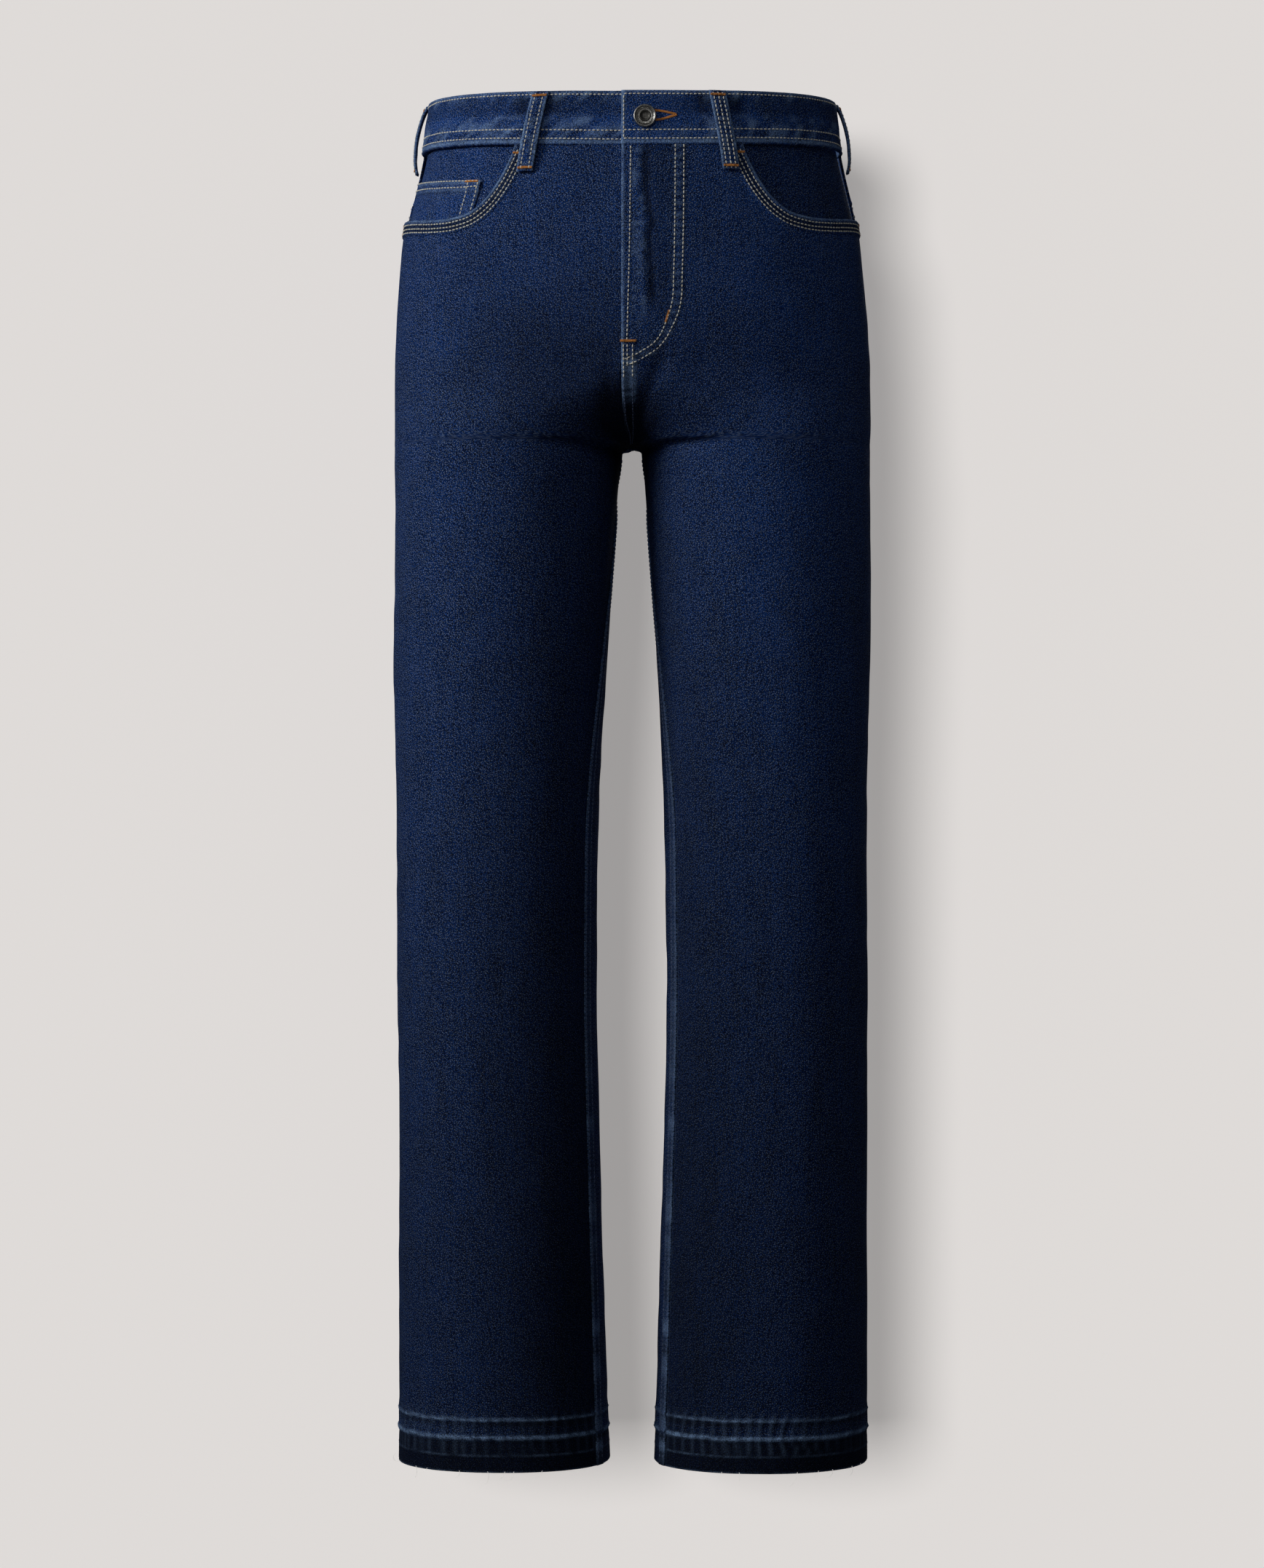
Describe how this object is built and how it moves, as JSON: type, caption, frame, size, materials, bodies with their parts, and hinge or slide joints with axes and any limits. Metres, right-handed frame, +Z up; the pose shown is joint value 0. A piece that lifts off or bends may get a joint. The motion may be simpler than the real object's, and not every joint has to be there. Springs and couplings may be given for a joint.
{
  "type": "straight leg jeans",
  "caption": "Hollow, filled-out straight leg jeans with a buttoned waistband, zip fly, scooped front pockets, coin pocket, belt loops and a released raw hem.",
  "frame": {"origin": "centre of the waist's ring, half way up the waistband at the side seams, where the wearer holds the jeans", "axes": "+Z up along the legs; the front faces -Y; the wearer's left is +X"},
  "size_m": [0.3574, 0.2412, 1.0361],
  "materials": {
    "denim": "dark indigo right-hand twill denim, washed, paler on edges and seams, cream and orange stitching",
    "zip": "navy zip tape with a dull metal chain",
    "button": "aged nickel-plated shank button, satin with bright rim"
  },
  "bodies": {
    "root": {"front_left": "denim", "front_right": "denim", "back_left": "denim", "back_right": "denim", "yoke_left": "denim", "yoke_right": "denim", "waistband": "denim", "pocket_facing_left": "denim", "pocket_facing_right": "denim", "coin_pocket": "denim", "belt_loop_front_left": "denim", "belt_loop_front_right": "denim", "belt_loop_side_left": "denim", "belt_loop_side_right": "denim", "belt_loop_back": "denim", "back_pocket_left": "denim", "back_pocket_right": "denim", "fly_zip": "zip", "button": "button"}
  },
  "joints": []
}
